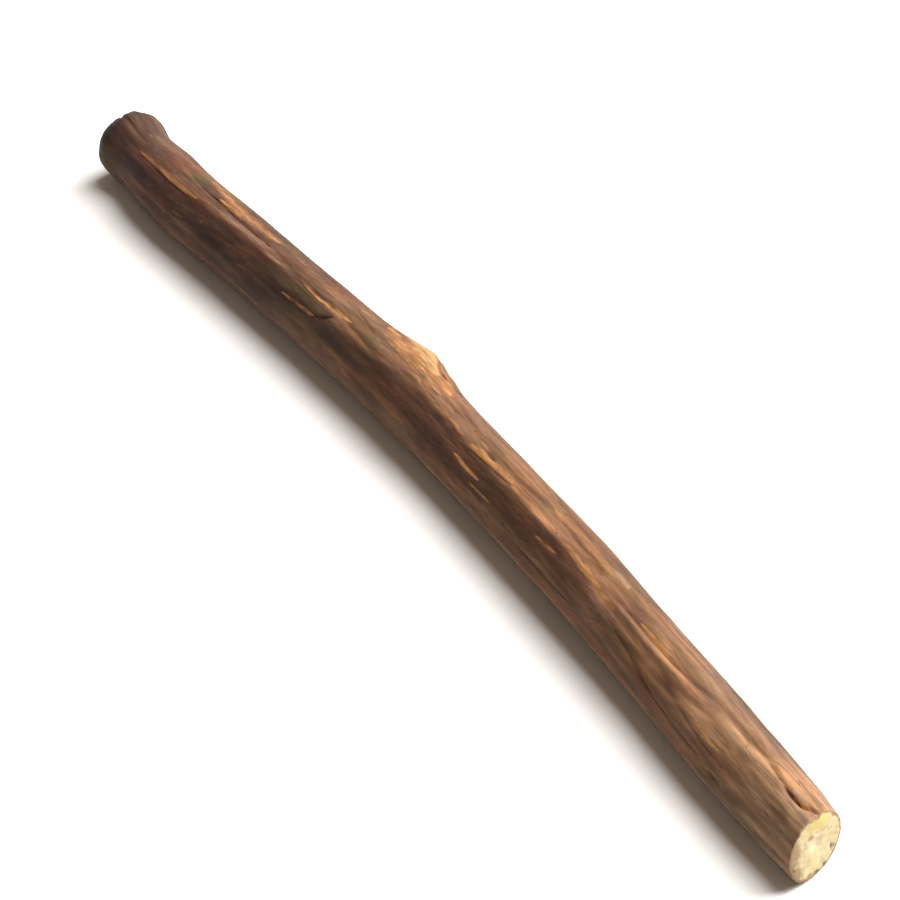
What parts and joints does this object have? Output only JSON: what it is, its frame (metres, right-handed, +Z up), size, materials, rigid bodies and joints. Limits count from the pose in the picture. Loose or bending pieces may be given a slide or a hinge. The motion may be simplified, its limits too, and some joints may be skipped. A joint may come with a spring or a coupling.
{
  "type": "silvervine stick",
  "caption": "Thin round woody stick with brown ridged bark, a knobby end, a low bud scar at a gentle bend, and a pale sawn end; a chew stick for cats that lies loose on its side.",
  "frame": {"origin": "on the surface that the stick lies on, under the middle of its bounding box", "axes": "+X along the stick from the knobby end to the sawn end, +Y towards the outside of its bend, +Z up"},
  "size_m": [0.131, 0.011, 0.0081],
  "materials": {
    "bark": "dry ridged brown bark with tan and orange worn streaks; the sawn end is pale cream wood"
  },
  "bodies": {
    "root": {"stick": "bark"}
  },
  "joints": []
}
